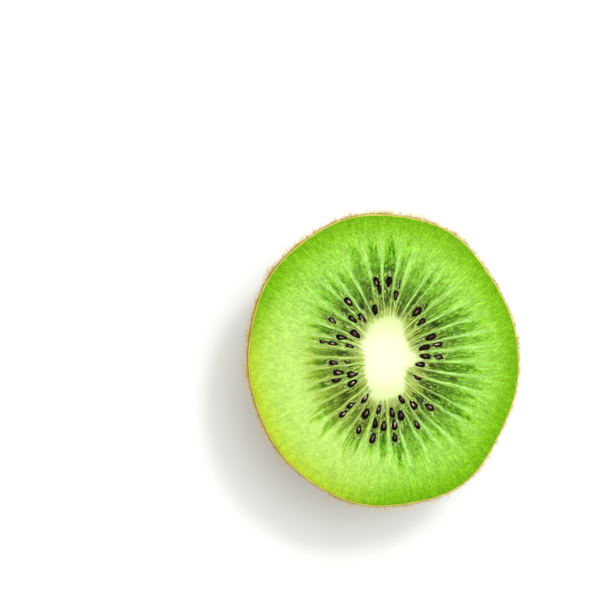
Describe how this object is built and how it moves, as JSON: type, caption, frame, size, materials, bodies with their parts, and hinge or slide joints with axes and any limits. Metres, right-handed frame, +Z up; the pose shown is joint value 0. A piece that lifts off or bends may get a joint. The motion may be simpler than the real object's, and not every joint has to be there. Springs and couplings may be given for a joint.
{
  "type": "kiwi fruit half",
  "caption": "Half a green kiwi fruit cut across its middle, lying cut face up on its rounded end, with pale core, dark seeds and thin furry brown skin.",
  "frame": {"origin": "middle of the small flat spot on the rounded end that the half rests on", "axes": "+Z up to the cut face, +Y along the longer way of the cut face, +X across it"},
  "size_m": [0.0508, 0.055, 0.0312],
  "materials": {
    "flesh": "moist green fruit flesh, darker in the seed chambers, round a creamy white core",
    "seed": "near-black brown seed coat, glossy and wet",
    "skin": "thin papery brown skin with olive patches, matt",
    "fuzz": "short golden brown hairs, dry",
    "stalk_scar": "dry dark brown stalk scar, rough and woody"
  },
  "bodies": {
    "root": {"kiwi_half": "flesh"}
  },
  "joints": []
}
